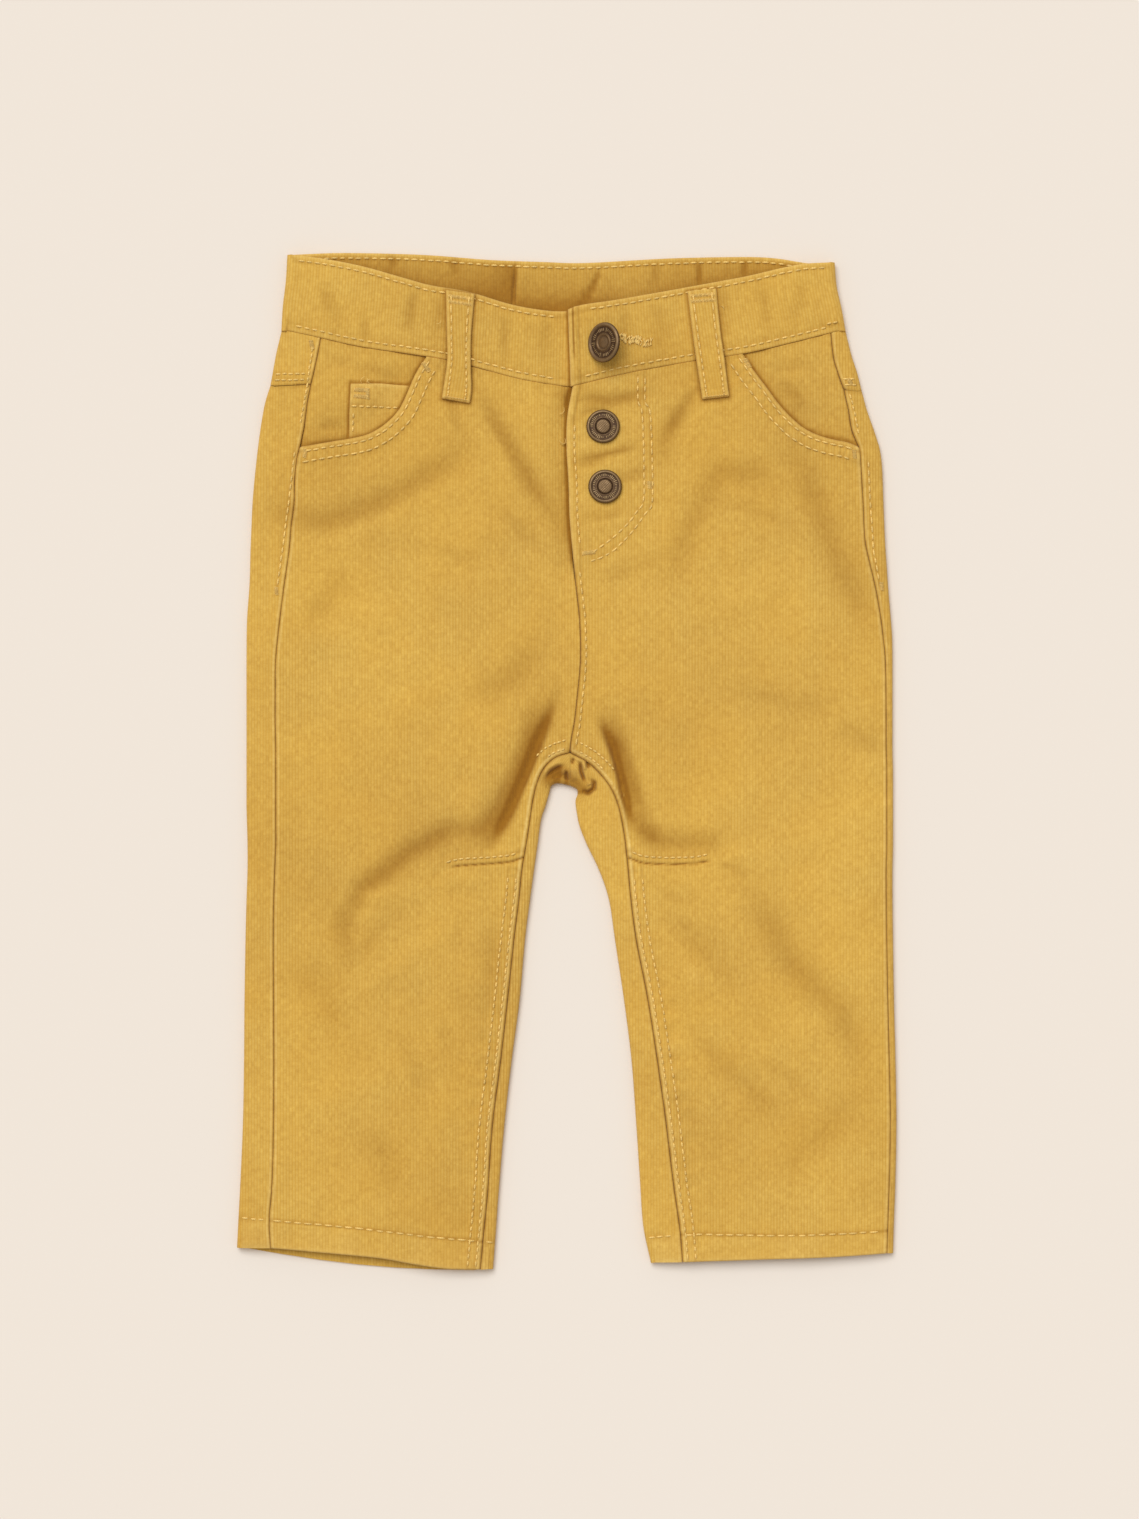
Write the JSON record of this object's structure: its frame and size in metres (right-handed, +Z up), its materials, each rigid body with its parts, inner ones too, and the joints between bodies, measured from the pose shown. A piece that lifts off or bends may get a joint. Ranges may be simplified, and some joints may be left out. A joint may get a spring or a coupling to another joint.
{
  "type": "baby trousers",
  "caption": "Baby trousers in mustard needlecord, laid flat: lapped waistband with belt loops, hip pockets, buttoned fly, back yokes and two tapered legs.",
  "frame": {"origin": "on the surface the trousers lie on, under the middle of their bounding box", "axes": "+Z up from the surface, +Y from the hems towards the waistband, +X to the viewer's right, which is the wearer's left"},
  "size_m": [0.2642, 0.4081, 0.0184],
  "materials": {
    "needlecord": "matte cotton needlecord with a fine upright rib and a soft nap",
    "antique_brass": "antiqued, darkened in the hollows and rubbed brighter on the rims"
  },
  "bodies": {
    "root": {"front_left": "needlecord", "front_right": "needlecord", "back_left": "needlecord", "back_right": "needlecord", "yoke_left": "needlecord", "yoke_right": "needlecord", "waistband": "needlecord", "belt_loop_left": "needlecord", "belt_loop_right": "needlecord", "pocket_facing_left": "needlecord", "pocket_facing_right": "needlecord", "coin_pocket": "needlecord", "waist_button": "antique_brass", "snap_cap_upper": "antique_brass", "snap_cap_lower": "antique_brass"}
  },
  "joints": []
}
